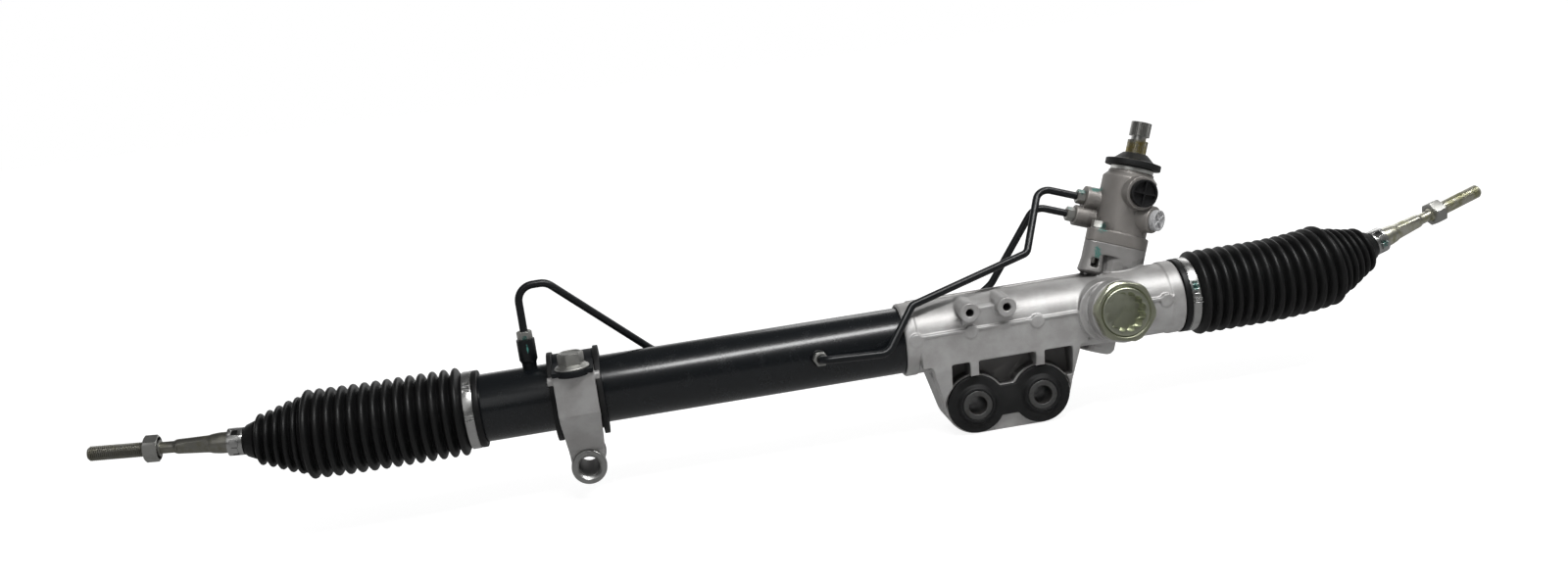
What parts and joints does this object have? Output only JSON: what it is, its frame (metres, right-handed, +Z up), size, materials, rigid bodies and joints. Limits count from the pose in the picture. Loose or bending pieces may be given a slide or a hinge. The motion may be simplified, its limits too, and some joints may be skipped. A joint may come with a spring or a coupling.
{
  "type": "steering rack",
  "caption": "Hydraulic rack and pinion steering gear with rotary valve tower, power cylinder tube, bush mount, tube clamp, pressure lines, bellows and axial rods.",
  "frame": {"origin": "centre of the left bush bore of the double mount, halfway along its sleeve", "axes": "+X along the rack towards the pinion end, +Y to the rear away from the yoke plug, +Z up; the rack axis runs at Z 60.5 mm"},
  "size_m": [1.2155, 0.1117, 0.2392],
  "materials": {
    "cast_aluminium": "as cast",
    "black_paint": "gloss",
    "steel": "machined, lightly oiled",
    "clip_steel": "bright rolled",
    "zinc": "yellow-clear zinc plated",
    "rubber": "matte",
    "boot_rubber": "satin",
    "dark_plastic": "moulded",
    "light_plastic": "moulded"
  },
  "bodies": {
    "housing": {"pinion_housing": "cast_aluminium", "valve_housing": "cast_aluminium", "cylinder_tube": "black_paint", "mount_bush_rubber": "rubber", "mount_bush_sleeves": "steel", "pinion_lower_bearing": "steel", "pinion_upper_bearing": "steel", "pinion_retainer": "steel", "valve_needle_bearing": "steel", "valve_seal": "rubber", "valve_top_ring": "clip_steel", "rack_bush": "dark_plastic", "rack_inner_seal": "rubber", "rack_outer_seal": "rubber", "cylinder_end_bush": "steel", "rack_yoke": "cast_aluminium", "yoke_pad": "dark_plastic", "yoke_spring": "steel", "yoke_plug": "cast_aluminium", "yoke_lock_nut": "zinc", "clamp_rubber": "rubber", "clamp_bracket": "cast_aluminium", "clamp_strap": "black_paint", "clamp_bolt": "zinc", "left_port_fitting": "black_paint", "front_port_fitting": "zinc", "line_nuts": "zinc", "long_line": "black_paint", "short_line": "black_paint", "pressure_port_plug": "dark_plastic", "return_port_plug": "light_plastic", "valve_bolts": "zinc", "left_boot": "boot_rubber", "left_boot_band": "clip_steel", "right_boot": "boot_rubber", "right_boot_band": "clip_steel"},
    "rack": {"rack_bar": "steel", "piston": "steel", "piston_ring": "dark_plastic", "left_ball_socket": "steel", "right_ball_socket": "steel", "left_lock_washer": "steel", "right_lock_washer": "steel"},
    "pinion": {"pinion_gear": "steel", "valve_sleeve": "steel", "sleeve_rings": "dark_plastic", "torsion_bar": "steel", "bar_lower_pin": "steel"},
    "input": {"input_shaft": "steel", "dust_cover": "rubber", "bar_upper_pin": "steel"},
    "left_seat": {"left_ball_seat": "dark_plastic"},
    "right_seat": {"right_ball_seat": "dark_plastic"},
    "left_rod": {"left_tie_rod": "steel", "left_jam_nut": "zinc", "left_boot_clip": "clip_steel"},
    "right_rod": {"right_tie_rod": "steel", "right_jam_nut": "zinc", "right_boot_clip": "clip_steel"}
  },
  "joints": [
    {"name": "rack_travel", "type": "slide", "parent": "housing", "child": "rack", "axis": [1, 0, 0], "range_m": [-0.075, 0.075], "deforming": ["left_boot", "right_boot"]},
    {"name": "pinion_turn", "type": "hinge", "parent": "housing", "child": "pinion", "pos_m": [0.1315, 0.01635, 0.05849], "axis": [0.342, 0.1145, 0.9327], "range_deg": [-560, 560]},
    {"name": "valve_twist", "type": "hinge", "parent": "pinion", "child": "input", "pos_m": [0.1315, 0.01635, 0.05849], "axis": [0.342, 0.1145, 0.9327], "range_deg": [-4.5, 4.5], "stiffness_Nm_per_rad": 60, "deforming": ["torsion_bar"]},
    {"name": "left_lift", "type": "hinge", "parent": "rack", "child": "left_seat", "pos_m": [-0.5396, 0, 0.0605], "axis": [0, 1, 0], "range_deg": [-26.75, 17.25], "deforming": ["left_boot"]},
    {"name": "left_sweep", "type": "hinge", "parent": "left_seat", "child": "left_rod", "pos_m": [-0.5396, 0, 0.0605], "axis": [-0.0828, 0, -0.9966], "range_deg": [-15, 15], "deforming": ["left_boot"]},
    {"name": "right_lift", "type": "hinge", "parent": "rack", "child": "right_seat", "pos_m": [0.3204, 0, 0.0605], "axis": [0, -1, 0], "range_deg": [-36.3, 7.7], "deforming": ["right_boot"]},
    {"name": "right_sweep", "type": "hinge", "parent": "right_seat", "child": "right_rod", "pos_m": [0.3204, 0, 0.0605], "axis": [-0.2466, 0, 0.9691], "range_deg": [-24, 6], "deforming": ["right_boot"]}
  ],
  "couplings": [
    {"joint": "pinion_turn", "follows": "rack_travel", "rad_per_m": 129.87}
  ]
}
